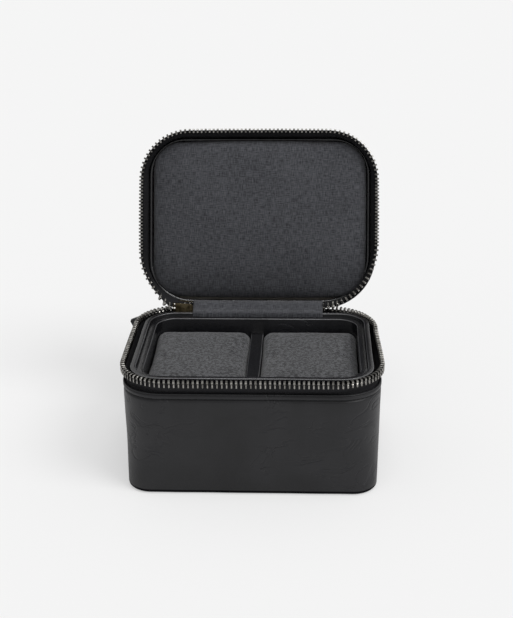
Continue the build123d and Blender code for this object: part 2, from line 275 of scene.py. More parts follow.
def loop_point(half_x, half_y, radius, gap, place, more=even_corners):
    """Point and outward direction on a rounded rectangle. The whole part of place counts the
    runs and corners from the back's right end at x = gap, round the front and back to -gap.
    more is added to the radius of each corner in that order."""
    radii = [max(radius + extra, least_radius) for extra in more]
    part = min(int(place), 8)
    share = place - part
    skipped = [
        asin(min(max((gap - half_x) / radii[index] + 1, 0), 1)) / (pi / 2) for index in (0, 3)
    ]
    if part % 2:
        index = part // 2
        if index == 0:
            share = skipped[0] + (1 - skipped[0]) * share
        if index == 3:
            share = (1 - skipped[1]) * share
        side_x, side_y = ((1, 1), (1, -1), (-1, -1), (-1, 1))[index]
        turn = radians(90 * (1 - index - share))
        out = (cos(turn), sin(turn))
        x = side_x * (half_x - radii[index]) + radii[index] * out[0]
        y = side_y * (half_y - radii[index]) + radii[index] * out[1]
        return x, y, *out
    start, end, out = (
        ((gap, half_y), (max(half_x - radii[0], gap), half_y), (0, 1)),
        ((half_x, half_y - radii[0]), (half_x, radii[1] - half_y), (1, 0)),
        ((half_x - radii[1], -half_y), (radii[2] - half_x, -half_y), (0, -1)),
        ((-half_x, radii[2] - half_y), (-half_x, half_y - radii[3]), (-1, 0)),
        ((min(radii[3] - half_x, -gap), half_y), (-gap, half_y), (0, 1)),
    )[part // 2]
    x = start[0] + (end[0] - start[0]) * share
    y = start[1] + (end[1] - start[1]) * share
    return x, y, *out


def loop_places(gap=0.0, step=side_step, corners=corner_steps, first=0.0, last=9.0):
    """Even places round the box, from first to last."""
    runs = (
        body_width / 2 - corner_radius - gap,
        body_depth - 2 * corner_radius,
        body_width - 2 * corner_radius,
        body_depth - 2 * corner_radius,
        body_width / 2 - corner_radius - gap,
    )
    places = []
    for part in range(9):
        count = corners if part % 2 else max(2, round(runs[part // 2] / step))
        places += [part + index / count for index in range(count)]
    least = 1e-6
    between = [place for place in places if first + least < place < last - least]
    return [first] + between + [last]


def lid_open(point, share=1.0):
    """A lid point drawn with the lid closed, turned open about the zip line, in millimetres."""
    turn = open_angle * share
    behind = point[1] - hinge_y
    above = point[2] - zip_z
    return (
        point[0],
        hinge_y + behind * cos(turn) + above * sin(turn),
        zip_z - behind * sin(turn) + above * cos(turn),
    )


def new_piece(name, verts, faces, material, uvs=None, smooth=True):
    """A mesh piece from points in millimetres, with one UV pair in metres for each point."""
    mesh = bpy.data.meshes.new(name)
    mesh.from_pydata([Vector(vert) * mm for vert in verts], [], faces)
    if uvs:
        layer = mesh.uv_layers.new(name="cloth")
        for loop in mesh.loops:
            u, v = uvs[loop.vertex_index]
            layer.data[loop.index].uv = (u * mm, v * mm)
    piece = bpy.data.objects.new(name, mesh)
    scene.collection.objects.link(piece)
    mesh.materials.append(material)
    point_outwards(piece)
    for polygon in mesh.polygons:
        polygon.use_smooth = smooth
    return piece


def point_outwards(piece):
    work = bmesh.new()
    work.from_mesh(piece.data)
    bmesh.ops.recalc_face_normals(work, faces=work.faces)
    work.to_mesh(piece.data)
    work.free()


def smooth_step(share):
    share = min(max(share, 0.0), 1.0)
    return share * share * (3 - 2 * share)


def swept(
    name, section, places, material,
    gap=0.0, lid=False, bend=None, round_section=True, more=even_corners, row_more=None,
):
    """A section of (inset, height, corner radius or None) points carried round the box, all the
    way where there is no gap. A round section closes on itself; otherwise its two ends are
    filled across the box. row_more takes over from more towards the height of the zip."""
    whole_loop = gap == 0.0
    stops = places[:-1] if whole_loop else places
    verts, uvs = [], []
    travelled = 0.0
    before = None
    for place in stops:
        along = loop_point(body_width / 2, body_depth / 2, corner_radius, gap, place)
        if before:
            travelled += hypot(along[0] - before[0], along[1] - before[1])
        before = along
        reach = 0.0
        last = None
        for inset, height, radius in section:
            radius = corner_radius - inset if radius is None else radius
            half_x = body_width / 2 - inset
            half_y = body_depth / 2 - inset
            corners = more
            if row_more:
                near_row = smooth_step((zip_rise - abs(height - zip_z)) / row_corner_run)
                corners = [low + (high - low) * near_row for low, high in zip(more, row_more)]
            x, y, out_x, out_y = loop_point(half_x, half_y, radius, gap, place, corners)
            point = (x, y, height)
            if bend:
                point = bend(point, out_x, out_y)
            if last:
                reach += hypot(inset - last[0], height - last[1])
            last = (inset, height)
            verts.append(lid_open(point) if lid else point)
            uvs.append((travelled, reach))
    faces = []
    count = len(section)
    rows = len(stops)
    for row in range(rows if whole_loop else rows - 1):
        for index in range(count if round_section else count - 1):
            following = (index + 1) % count
            near = row * count
            far = (row + 1) % rows * count
            faces.append((near + index, near + following, far + following, far + index))
    if not whole_loop:
        faces.append(tuple(range(count)))
        faces.append(tuple(range((rows - 1) * count, rows * count)))
    elif not round_section:
        faces.append(tuple(row * count for row in range(rows)))
        faces.append(tuple(row * count + count - 1 for row in range(rows)))
    return new_piece(name, verts, faces, material, uvs)


def arc(centre, radius, start, end, steps):
    """Section points on an arc, with angles in degrees from the outward direction."""
    points = []
    for index in range(steps + 1):
        turn = radians(start + (end - start) * index / steps)
        points.append((centre[0] - radius * cos(turn), centre[1] + radius * sin(turn), None))
    return points


def rows_between(start, end, steps):
    """Section points between two others, without either of them."""
    shares = [(index + 1) / (steps + 1) for index in range(steps)]
    return [
        (start[0] + (end[0] - start[0]) * share, start[1] + (end[1] - start[1]) * share, None)
        for share in shares
    ]


def leather(name, dark, light, crease=1.0, gloss=0.42, shine=0.32):
    """Soft grain, with clusters of fine creases here and there."""
    finish = Finish(name)
    place = finish.place()
    grain = finish.cloud(place, 1900, 3, 0.3)
    pores = finish.node("TexVoronoi", {"Vector": place, "Scale": 1300}, feature="SMOOTH_F1")
    soft = finish.cloud(place, 26, 3, 0.4)
    drawn = finish.scaled(place, 1.0, 1.0, 1.6)
    waves = finish.cloud(drawn, 52, 2.4, 1.1)
    lines = (1 - (abs(waves - 0.5) * 22).within(0.0, 1.0)) * soft.within(0.5, 0.66)
    finish.set(
        Base_Color=finish.between(soft.within(0.3, 0.75), dark, light),
        Roughness=(grain - 0.5) * 0.12 + gloss + (soft - 0.5) * 0.14 + lines * 0.1,
        Specular_IOR_Level=shine,
    )
    height = grain * 0.35 + pores * 0.5 - lines * (1.7 * crease)
    finish.set(Normal=finish.relief(height, 0.00012))
    return finish.material


cover_leather = leather("black leather", (0.008, 0.008, 0.009), (0.016, 0.016, 0.018), 1.3, 0.4)
# Painted shade: a darker copy of the cover leather without reflection, for the shade where the box
# meets the floor
foot_shade_leather = leather(
    "black leather with painted shade", (0.007, 0.007, 0.008), (0.01, 0.01, 0.011), 0.5, 0.9, 0.0,
)
cover_waves = 0.2
wave_length = 19.0


def bow(point, out_x, out_y):
    """1 at the middle of a side and a half at the middle of the front, and 0 at the corners."""
    side = abs(out_x) * (1 - (point[1] / (body_depth / 2)) ** 2)
    front = max(-out_y, 0) * (1 - (point[0] / (body_width / 2)) ** 2)
    return side + 0.5 * front


def soft_walls(amount, stand=0.0):
    """Hand-worked unevenness of a wrapped wall, which may also stand out in its middle."""
    def bend(point, out_x, out_y):
        swell = amount * noise.noise(Vector(point) / wave_length) + stand * bow(point, out_x, out_y)
        return point[0] + swell * out_x, point[1] + swell * out_y, point[2]
    return bend


def cover_section(low, high, draw_in, squareness=0.0):
    """Outer face of a wrapped wall from its flat face at low to its folded edge at high, then
    back down the inside. The corners may be squarer towards low."""
    up = 1 if high > low else -1
    rise = abs(high - low)
    fold_top = rise - fold_drop

    def at(inset, height):
        squarer = squareness * (1 - smooth_step(height / 34))
        return inset, low + up * height, corner_radius - inset - squarer

    stitch = rise - stitch_drop
    edge = [
        at(draw_in, bottom_radius),
        at(draw_in * 0.35 - 0.15, stitch * 0.55),
        at(-0.15, stitch - 3.6),
        at(-0.1, stitch - 1.5),
        at(0.12, stitch - 0.6),
        at(stitch_groove, stitch - 0.1),
        at(stitch_groove, stitch + 0.1),
        at(0.1, stitch + 0.55),
        at(-fold_stand * 0.8, stitch + 1.1),
        at(-fold_stand, rise - crease_drop - 0.35),
        at(crease_depth - fold_stand, rise - crease_drop),
        at(-fold_stand, rise - crease_drop + 0.3),
    ]
    outer = []
    for first, second in zip(edge, edge[1:]):
        steps = max(0, int(abs(second[1] - first[1]) / 2.5) - 1)
        between = rows_between(first, second, steps)
        outer += [first] + [at(inset, abs(height - low)) for inset, height, radius in between]
    outer.append(edge[-1])
    fold = [
        (
            fold_radius * (1 - cos(turn)) - fold_stand,
            low + up * (fold_top - fold_radius + fold_radius * sin(turn)),
            None,
        )
        for turn in (radians(22.5), radians(45), radians(67.5), radians(90))
    ]
    inner = [
        (leather_thickness - 0.05, low + up * (fold_top - 0.2), None),
        (leather_thickness, low + up * (fold_top - 1.0), None),
        at(leather_thickness, stitch * 0.55),
        at(leather_thickness + draw_in, bottom_radius),
    ]
    turned = [
        at(draw_in + bottom_radius * (1 - sin(turn)), bottom_radius * (1 - cos(turn)))
        for turn in (radians(step * 90 / 8) for step in range(8))
    ]
    return turned + outer + fold + inner


def make_base_cover():
    section = cover_section(0.0, wall_edge, bottom_draw_in, foot_squareness)
    flange = [(turned_flange, 0.0, None), (turned_flange / 2 + 3, 0.0, None)]
    inside = [(bottom_radius + 1, leather_thickness, None), (turned_flange, leather_thickness, None)]
    cover = swept(
        "base_cover_leather", flange + section + inside, loop_places(), cover_leather,
        bend=soft_walls(cover_waves),
    )
    # The lowest faces get the painted shade.
    cover.data.materials.append(foot_shade_leather)
    for polygon in cover.data.polygons:
        polygon.material_index = int(polygon.center.z < foot_shade_height * mm)
    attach(cover, "base")
    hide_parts("base_cover")


make_base_cover()


# Base boards and underside panel
# Greyboard gives the base its shape: a floor board and one strip bent round the walls. A panel
# of the cover leather closes the underside over the turned-in edges.
board_nodes = (
    "base_floor_board", "base_wall_board", "collar_board", "tray_floor_board", "tray_wall_board",
    "divider_core", "lining_card",
)


def paint(piece, *materials):
    """Gives a piece its finishes, in the order of its faces' material numbers."""
    piece.data.materials.clear()
    for material in materials:
        piece.data.materials.append(material)


def repaint(node, material):
    """Gives a CAD node its finish."""
    paint(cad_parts[node], material)


def board_finish():
    finish = Finish("greyboard")
    place = finish.place()
    pulp = finish.cloud(place, 900, 4)
    flecks = finish.cloud(place, 260, 2, 0.8).within(0.6, 0.72)
    tone = pulp * 0.6 + flecks * 0.4
    finish.set(
        Base_Color=finish.between(tone, (0.2, 0.185, 0.165), (0.32, 0.3, 0.27)),
        Roughness=0.92,
        Normal=finish.relief(pulp + flecks * 0.5, 0.0001),
    )
    return finish.material


greyboard = board_finish()
for node in board_nodes:
    repaint(node, greyboard)
repaint("base_underside_panel", cover_leather)

# Collar
# A thin board collar inside the base, wrapped in smooth leather-look sheet. It rises over the
# leather edge and keeps the lid in line when the box is zipped up.
collar_foot = 4.6
collar_top = 68.0
collar_inset = 4.8
collar_thickness = 2.2
collar_edge = 0.6
collar_spread = 0.9
collar_spread_rise = (58.0, 64.0)
collar_waves = 0.16
# Where the painted edge highlight lies: within this depth of the top, on faces tilted between these
# shares
edge_highlight_depth = 1.0
edge_highlight_tilt = (0.35, 0.94)
inner_leather = leather(
    "smooth inner leather", (0.007, 0.007, 0.008), (0.012, 0.012, 0.014), 0.35, 0.18, 0.9,
)
# Painted highlight: a lighter copy of the inner leather, laid on the rounded top edges as a fine
# bright line
edge_highlight_leather = leather(
    "painted edge highlight", (0.055, 0.055, 0.058), (0.13, 0.13, 0.135), 0.2, 0.25, 0.6,
)


def paint_edge_highlights(piece, top):
    """A lighter leather painted along the turned top edges: a painted highlight in a fine line."""
    piece.data.materials.append(edge_highlight_leather)
    least, most = edge_highlight_tilt
    for polygon in piece.data.polygons:
        turned = least < abs(polygon.normal.z) < most
        near_top = polygon.center.z > (top - edge_highlight_depth) * mm
        polygon.material_index = int(turned and near_top)


def wall_section(outer, thickness, low, high, edge):
    """A wrapped wall with rounded top edges, from its foot up the outside and down the inside."""
    inner = outer + thickness
    return [
        (outer, low, None),
        *rows_between((outer, low), (outer, high - edge), 9),
        *arc((outer + edge, high - edge), edge, 0, 90, 5),
        *arc((inner - edge, high - edge), edge, 90, 180, 5),
        *rows_between((inner, high - edge), (inner, low), 9),
        (inner, low, None),
    ]


def spread(section, amount, low, high):
    """Moves a section's outer face outwards by amount above high, and not below low."""
    middle = (min(point[0] for point in section) + max(point[0] for point in section)) / 2
    moved = []
    for inset, height, radius in section:
        share = smooth_step((height - low) / (high - low)) * (1.0 if inset < middle else 0.0)
        moved.append((inset - amount * share, height, radius))
    return moved


def make_collar():
    section = wall_section(collar_inset, collar_thickness, collar_foot, collar_top, collar_edge)
    section = spread(section, collar_spread, *collar_spread_rise)
    collar = swept(
        "collar_wrap_leather", section, loop_places(), inner_leather, bend=soft_walls(collar_waves),
    )
    paint_edge_highlights(collar, collar_top)
    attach(collar, "base")
    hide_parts("collar_wrap")


make_collar()

# Rim strips
# Strips of the same sheet that cover the edges of the base's and the lid's wall boards, beside
# the zip tapes.
rim_outer = 2.05
rim_inner = 4.75
rim_heights = {"base": (57.3, 57.6), "lid": (79.3, 79.65)}
rim_corners = {"base": even_corners, "lid": lid_corners}


def make_rim_strips():
    for body, (low, high) in rim_heights.items():
        section = [
            (rim_outer, low, None),
            (rim_outer, high, None),
            (rim_inner, high, None),
            (rim_inner, low, None),
        ]
        rim = swept(
            f"{body}_rim_leather", section, loop_places(), inner_leather,
            lid=body == "lid", more=rim_corners[body],
        )
        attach(rim, body)


make_rim_strips()

# Tray
# A lift-in tray of wrapped board with a cloth-lined floor. Its rim lies a little below the
# collar, and the same sheet covers its walls inside and out.
tray_top = 66.0
tray_inset = 8.0
tray_thickness = 3.0
tray_edge = 0.55
tray_spread = 0.85
tray_spread_rise = (50.0, 60.0)
tray_waves = 0.14
tray_foot = 6.8


def make_tray():
    section = wall_section(tray_inset, tray_thickness, tray_foot, tray_top, tray_edge)
    section = spread(section, tray_spread, *tray_spread_rise)
    tray = swept(
        "tray_wall_leather", section, loop_places(), inner_leather, bend=soft_walls(tray_waves),
    )
    paint_edge_highlights(tray, tray_top)
    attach(tray, "base")
    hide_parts("tray_wall_wrap")


make_tray()

# Divider
# A padded wall across the middle of the tray, wrapped like it, with soft top edges. It parts
# the two cushions and is glued to the tray's floor and walls.
divider_top = 57.0
divider_half = 3.75
divider_foot = 7.5
divider_end = 41.8
divider_edge = 0.75
divider_side_steps = 9
divider_edge_steps = 6
divider_rows = 29
divider_waves = 0.18
divider_wave_length = 14.0


def tube_faces(rings, count):
    """Faces of a closed form made of rings of count points, with both ends filled."""
    faces = [
        (ring * count + index, ring * count + (index + 1) % count,
         (ring + 1) * count + (index + 1) % count, (ring + 1) * count + index)
        for ring in range(rings - 1)
        for index in range(count)
    ]
    return faces + [tuple(range(count)), tuple(range((rings - 1) * count, rings * count))]


def make_divider():
    section = [(-divider_half, divider_foot)]
    for index in range(divider_side_steps):
        share = (index + 1) / divider_side_steps
        rise = share * (divider_top - divider_edge - divider_foot)
        section.append((-divider_half, divider_foot + rise))
    for side in (-1, 1):
        for index in range(divider_edge_steps + 1):
            turn = radians((180 if side < 0 else 90) - 90 * index / divider_edge_steps)
            centre = side * (divider_half - divider_edge)
            section.append((
                centre + divider_edge * cos(turn),
                divider_top - divider_edge + divider_edge * sin(turn),
            ))
    section.append((divider_half, divider_foot))
    verts = []
    for row in range(divider_rows):
        y = divider_end * (2 * row / (divider_rows - 1) - 1)
        for x, z in section:
            swell = divider_waves * noise.noise(Vector((x, y, z)) / divider_wave_length)
            verts.append((x + swell, y, z + (swell if z > divider_foot else 0)))
    faces = tube_faces(divider_rows, len(section))
    divider = new_piece("divider_leather", verts, faces, inner_leather)
    paint_edge_highlights(divider, divider_top)
    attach(divider, "base")
    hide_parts("divider_wrap")


make_divider()

# Tray floor lining
# The tray's floor is lined with a plain woven charcoal cloth of slubby yarns, glued to its
# board. The lid's pad and the hinge are covered with the same cloth.
yarn_pitch = 0.42


def woven(name, dark, light):
    finish = Finish(name)
    spot, along, across = finish.cloth_place()
    turn = pi / (yarn_pitch * mm)
    over = (along * turn).sine() * (across * turn).sine()
    warp = finish.cloud(finish.scaled(spot, 260, 2300, 1), 1, 2)
    weft = finish.cloud(finish.scaled(spot, 2300, 260, 1), 1, 2)
    wash = finish.cloud(spot, 34, 2)
    tone = (warp + weft - 1) * 1.5 + 0.5 + over * 0.14 + (wash - 0.5) * 0.35
    fuzz = finish.cloud(spot, 5200, 2)
    finish.set(
        Base_Color=finish.between(tone.within(0.0, 1.0), dark, light),
        Roughness=0.94,
        Specular_IOR_Level=0.18,
        Sheen_Weight=0.12,
        Sheen_Roughness=0.5,
        Normal=finish.relief(over * 0.5 + (warp + weft) * 0.8 + fuzz * 0.3, 0.00016),
    )
    return finish.material


def lay_cloth(piece, along, across):
    """UV in metres along two directions, so the weave runs with the piece."""
    mesh = piece.data
    layer = mesh.uv_layers.get("cloth") or mesh.uv_layers.new(name="cloth")
    for loop in mesh.loops:
        point = mesh.vertices[loop.vertex_index].co
        layer.data[loop.index].uv = (point.dot(Vector(along)), point.dot(Vector(across)))


lining_cloth = woven("charcoal chambray", (0.026, 0.027, 0.031), (0.092, 0.094, 0.104))
lay_cloth(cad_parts["tray_floor_lining"], (1, 0, 0), (0, 1, 0))
repaint("tray_floor_lining", lining_cloth)

# Cushions
# Two rolls of foam in a thick heather cloth with a felted face, one each side of the divider.
# They are loose in the tray, and each lifts out with what is fastened round it.
cushion_seat = 7.6
cushion_middle = 31.375
cushion_half = (27.2, 40.6)
cushion_rise = 1.02
cushion_fill = 0.06
foam_share = 0.94


def felted(name, dark, light):
    finish = Finish(name)
    spot = finish.place()
    clumps = finish.cloud(spot, 600, 3, 0.4, 0.66)
    hairs = finish.cloud(finish.scaled(spot, 1.0, 2.6, 1.0), 1900, 3, 1.6, 0.6)
    wash = finish.cloud(spot, 60, 2)
    tone = (clumps - 0.5) * 6.5 + (hairs - 0.5) * 3.0 + 0.5 + (wash - 0.5) * 0.5
    finish.set(
        Base_Color=finish.between(tone.within(0.0, 1.0), dark, light),
        Roughness=0.97,
        Specular_IOR_Level=0.12,
        Sheen_Weight=0.2,
        Sheen_Roughness=0.6,
        Normal=finish.relief(clumps * 0.7 + hairs * 0.5, 0.0003),
    )
    return finish.material


def foam_finish():
    finish = Finish("foam")
    place = finish.place()
    cells = finish.node("TexVoronoi", {"Vector": place, "Scale": 900})
    finish.set(
        Base_Color=finish.between(cells.within(0.0, 0.8), (0.5, 0.49, 0.46), (0.75, 0.74, 0.7)),
        Roughness=0.95,
        Normal=finish.relief(cells, 0.0003),
    )
    return finish.material


cushion_cloth = felted("heather felt", (0.01, 0.01, 0.012), (0.082, 0.084, 0.09))
foam = foam_finish()


def node_copy(node, name):
    """A new piece with a CAD node's form."""
    piece = bpy.data.objects.new(name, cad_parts[node].data.copy())
    scene.collection.objects.link(piece)
    return piece


def weld(piece, flat_angle=None):
    """Joins a CAD node's loose triangles, and those within flat_angle of each other into faces."""
    work = bmesh.new()
    work.from_mesh(piece.data)
    bmesh.ops.remove_doubles(work, verts=work.verts, dist=1e-6)
    if flat_angle:
        bmesh.ops.dissolve_limit(work, angle_limit=flat_angle, verts=work.verts, edges=work.edges)
    work.to_mesh(piece.data)
    work.free()


def freeze(piece):
    """Turns what the modifiers make into the piece's own mesh."""
    seen = piece.evaluated_get(bpy.context.evaluated_depsgraph_get())
    mesh = bpy.data.meshes.new_from_object(seen)
    piece.modifiers.clear()
    piece.data = mesh


def stuffed(name, source, voxel, grow, cap, pressure, material):
    """The foam's form, remeshed and grown by grow, then blown out as cloth and held within cap
    of where it started."""
    piece = node_copy(source, name)
    paint(piece)
    weld(piece)
    remesh = piece.modifiers.new("remesh", "REMESH")
    remesh.mode = "VOXEL"
    remesh.voxel_size = voxel * mm
    remesh.use_smooth_shade = True
    smooth = piece.modifiers.new("smooth", "SMOOTH")
    smooth.factor = 0.5
    smooth.iterations = 4
    freeze(piece)
    for vert in piece.data.vertices:
        vert.co += vert.normal * grow * mm
    start = [vert.co.copy() for vert in piece.data.vertices]
    cloth = piece.modifiers.new("cloth", "CLOTH")
    cloth.settings.use_pressure = True
    cloth.settings.uniform_pressure_force = pressure
    cloth.settings.effector_weights.gravity = 0.0
    cloth.settings.quality = 6
    for step in range(1, 21):
        scene.frame_set(step)
    freeze(piece)
    scene.frame_set(1)
    for vert, place in zip(piece.data.vertices, start):
        moved = vert.co - place
        if moved.length > cap * mm:
            vert.co = place + moved * (cap * mm / moved.length)
    finer = piece.modifiers.new("finer", "SUBSURF")
    finer.levels = 1
    finer.render_levels = 1
    freeze(piece)
    for polygon in piece.data.polygons:
        polygon.use_smooth = True
    piece.data.materials.append(material)
    return piece


def tuck_foam(node, body, shape=None):
    """The foam, pressed a little smaller by the cloth pulled round it. shape(point) is how far
    the cloth has been moved there."""
    piece = node_copy(node, f"{node}_core")
    places = [vert.co for vert in piece.data.vertices]
    low = Vector([min(place[k] for place in places) for k in range(3)])
    high = Vector([max(place[k] for place in places) for k in range(3)])
    middle = (low + high) / 2
    for vert in piece.data.vertices:
        moved = shape(vert.co) if shape else Vector()
        vert.co = middle + (vert.co - middle) * foam_share + moved
    paint(piece, foam)
    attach(piece, body)
    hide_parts(node)


def make_cushions():
    """Each roll fills its compartment, and its stuffing pushes into the corners."""
    for side, sign in (("left", -1), ("right", 1)):
        cushion = stuffed(
            f"cushion_{side}_cloth", f"cushion_{side}_foam",
            voxel=1.6, grow=0.75, cap=0.8, pressure=2.5, material=cushion_cloth,
        )
        length = max(abs(vert.co.y) for vert in cushion.data.vertices)
        for vert in cushion.data.vertices:
            across = (vert.co.x / mm - sign * cushion_middle) / cushion_half[0]
            along = vert.co.y / length
            fill = 1 + cushion_fill * (across * along) ** 2
            across = min(max(across * fill, -1), 1)
            along = min(max(along * fill, -1), 1)
            vert.co.x = (sign * cushion_middle + across * cushion_half[0]) * mm
            vert.co.y = along * cushion_half[1] * mm
            vert.co.z = cushion_seat * mm + (vert.co.z - cushion_seat * mm) * cushion_rise
        tuck_foam(f"cushion_{side}_foam", f"cushion_{side}")
        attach(cushion, f"cushion_{side}")
        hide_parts(f"cushion_{side}_cover")


make_cushions()

# Lid cover
# The lid is made like the base: leather-look sheet over board, folded in at the zip edge and
# stitched there. Its top is one plain, slightly padded panel.
lid_edge = 76.0
lid_top = 90.0
lid_crown = 0.5
lid_draw_in = 0.25
lid_stand = 0.8
lid_top_shares = (0.0, 0.12, 0.25, 0.4, 0.55, 0.7, 0.82, 0.92)
# The boards' sections, as (inset, height) with the lid closed
lid_wall_board = ((1.45, 79.75), (4.5, 79.75), (4.5, 85.4), (1.45, 85.4))
lid_top_board = ((1.5, 85.6), (1.5, 86.8), (2.8, 88.5))


def make_lid_cover():
    wall = cover_section(lid_top, lid_edge, lid_draw_in)
    middle = body_depth / 2 - 1.0
    top = []
    for share in lid_top_shares:
        inset = middle + (bottom_radius + 0.6 - middle) * share
        crown = lid_crown * (1 - share ** 2)
        top.append((inset, lid_top + crown, None))
    under = [(inset, height - leather_thickness, radius) for inset, height, radius in reversed(top)]
    cover = swept(
        "lid_cover_leather", top + wall + under, loop_places(), cover_leather,
        lid=True, bend=soft_walls(cover_waves, lid_stand), round_section=False, more=lid_corners,
    )
    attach(cover, "lid")
    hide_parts("lid_cover")


def make_lid_boards():
    for part, line in (("wall", lid_wall_board), ("top", lid_top_board)):
        board = swept(
            f"lid_{part}_greyboard", [(*point, None) for point in line], loop_places(), greyboard,
            lid=True, round_section=part == "wall", more=lid_corners,
        )
        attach(board, "lid")
        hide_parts(f"lid_{part}_board")


make_lid_cover()
make_lid_boards()

# Lid lining
# Woven cloth over a thin foam pad on a card, pressed into the lid. The pad is fullest in the
# middle and its edges turn down to the lid's walls.
lining_back = 83.85
lining_front = 69.5
lining_half = (66.5, 50.0)
lining_swell = 0.9
# How far the pad's face draws back at each edge, and how sharply it turns there
lining_edges = {"left": (5.0, 5), "right": (2.2, 8), "bottom": (7.5, 3.2), "top": (2.0, 8)}
lining_hem_rise = 1.7


def make_lining():
    """The pad's face swells in its middle and draws back towards its edges."""
    lean = open_angle - pi / 2
    away = Vector((0, cos(lean), -sin(lean)))
    upwards = Vector((0, sin(lean), cos(lean)))
    back = Vector(lid_open((0, 0, lining_back))) * mm

    def plump(point):
        across = point.x / (lining_half[0] * mm)
        along = (point - back).dot(upwards) / (lining_half[1] * mm)
        side, side_power = lining_edges["right" if across > 0 else "left"]
        end, end_power = lining_edges["top" if along > 0 else "bottom"]
        side_share = min(abs(across), 1) ** side_power
        end_share = min(abs(along), 1) ** end_power
        swell = lining_swell * (1 - side_share) * (1 - end_share)
        drawn = side * side_share + end * end_share - swell
        reach = min(max((back - point).dot(away) / ((lining_back - lining_front) * mm), 0), 1)
        rise = lining_hem_rise * max(-along, 0) ** 3
        return (away * drawn * reach + upwards * rise) * mm

    lining = stuffed(
        "lining_cloth_pad", "lining_foam",
        voxel=1.8, grow=0.75, cap=0.8, pressure=2.0, material=lining_cloth,
    )
    for vert in lining.data.vertices:
        depth = (vert.co - back).dot(away)
        if depth > 0:
            vert.co -= away * depth
        vert.co += plump(vert.co)
    tuck_foam("lining_foam", "lid", plump)
    lay_cloth(lining, (1, 0, 0), (0, sin(lean), cos(lean)))
    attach(lining, "lid")
    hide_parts("lining_fabric")


make_lining()

# Zip tapes
# Two woven black tapes. Each is stitched inside a leather edge, flares out and stands up to
# carry its row of teeth on a corded edge.
zip_outset = 0.3
zip_corner = 25.0
tape_half = 0.35
tape_low_inset = 1.65
tape_sewn = 3.5
tape_upright = 3.9
tape_top = 67.0
tape_gap = 36.7
cord_half = 0.55
base_row_corners = (4.0, 1.0, 1.0, 0.0)
lid_row_corners = (13.0, 3.0, 3.0, 8.0)
base_row_stand = 0.6
base_row_lean = 1.4
base_row_lift = 1.2
lid_row_stand = 1.1
row_run = 5.0
# Where the base's row begins to lean in and to lift towards the back, and over what length
lean_from = -30.0
lean_run = 50.0
lift_from = 18.0
lift_run = 32.0
# The x between which the lid's row turns with the lid at each end of the zip
leads = {"right": (39.5, 55.0), "left": (50.0, 66.0)}
lead_step = 1.2
lead_corner_steps = 24
# Where over the teeth a lead begins to turn from the row's lie to the lid's, over what length,
# and how deep the turn is at the hinge
lead_sewn_from = 0.9
lead_sewn_run = 6.6
lead_blend_depth = 4.0


def tape_finish():
    finish = Finish("black zip tape")
    spot, along, across = finish.cloth_place()
    ribs = (along * (2 * pi / (0.62 * mm))).sine() * 0.5 + 0.5
    picks = (across * (2 * pi / (0.8 * mm)) + along * (pi / (0.62 * mm))).sine() * 0.5 + 0.5
    fuzz = finish.cloud(spot, 3000, 3)
    worn = fuzz.within(0.2, 0.8)
    finish.set(
        Base_Color=finish.between(worn, (0.005, 0.005, 0.006), (0.014, 0.014, 0.016)),
        Roughness=0.85,
        Specular_IOR_Level=0.25,
        Normal=finish.relief(ribs * 0.7 + picks * 0.5 + fuzz * 0.3, 0.00012),
    )
    return finish.material


tape_cloth = tape_finish()
tape_line = (
    (tape_low_inset, wall_edge - tape_sewn),
    (tape_low_inset, wall_edge - 0.6),
    (tape_low_inset - 0.5, wall_edge + 0.8),
    (0.05, zip_z - tape_upright - 0.9),
    (-zip_outset, zip_z - tape_upright + 0.6),
    (-zip_outset, tape_top - 1.0),
    (-zip_outset, tape_top - 0.4),
)


def tape_section(mirrored=False):
    """The tape's two faces, with a corded bead at the edge that carries the teeth."""
    outer, inner = [], []
    for index, (inset, height) in enumerate(tape_line):
        half = tape_half if index < len(tape_line) - 1 else cord_half
        radius = corner_radius - inset if height <= wall_edge else zip_corner
        outer.append((inset - half, height, radius + half))
        inner.append((inset + half, height, radius - half))
    bead = [
        (-zip_outset - cord_half * 0.7, tape_top, zip_corner + cord_half * 0.7),
        (-zip_outset + cord_half * 0.7, tape_top, zip_corner - cord_half * 0.7),
    ]
    section = outer + bead + list(reversed(inner))
    if mirrored:
        section = [(inset, 2 * zip_z - height, radius) for inset, height, radius in section]
    return section


def corner_place(x):
    """Place on the back corners where the lid's row passes x, with its sign."""
    radius = zip_corner + lid_row_corners[0 if x > 0 else 3]
    side = radius - body_width / 2 - zip_outset
    share = asin((abs(x) + side) / radius)
    skipped = asin(max((tape_gap + side) / radius, 0))
    share = (share - skipped) / (pi / 2 - skipped)
    return 1 + share if x > 0 else 8 - share


def row_bend(stand, lean=0.0, lift=0.0):
    """Lets a row of the zip stand out from its middle, lean in at its right and lift at its
    back, but not at its sewn edge."""
    def bend(point, out_x, out_y):
        leaning = lean * max(out_x, 0) * smooth_step((point[1] - lean_from) / lean_run)
        near_row = smooth_step((zip_rise - abs(point[2] - zip_z)) / row_run)
        swell = (stand * bow(point, out_x, out_y) - leaning) * near_row
        rise = lift * smooth_step((point[1] - lift_from) / lift_run) * near_row
        return point[0] + swell * out_x, point[1] + swell * out_y, point[2] + rise
    return bend


base_row_bend = row_bend(base_row_stand, base_row_lean, base_row_lift)
lid_row_bend = row_bend(lid_row_stand)


def lead_bend(reach):
    """Near the ends of the zip the lid's tape turns from standing up at the teeth to lying
    with the lid at its sewn edge."""
    def bend(point, out_x, out_y):
        point = lid_row_bend(point, out_x, out_y)
        share = smooth_step((abs(point[0]) - reach[0]) / (reach[1] - reach[0]))
        above = point[2] - zip_z
        sewn = smooth_step((above - lead_sewn_from) / lead_sewn_run)
        return lid_open(point, share + (1 - share) * sewn)
    return bend


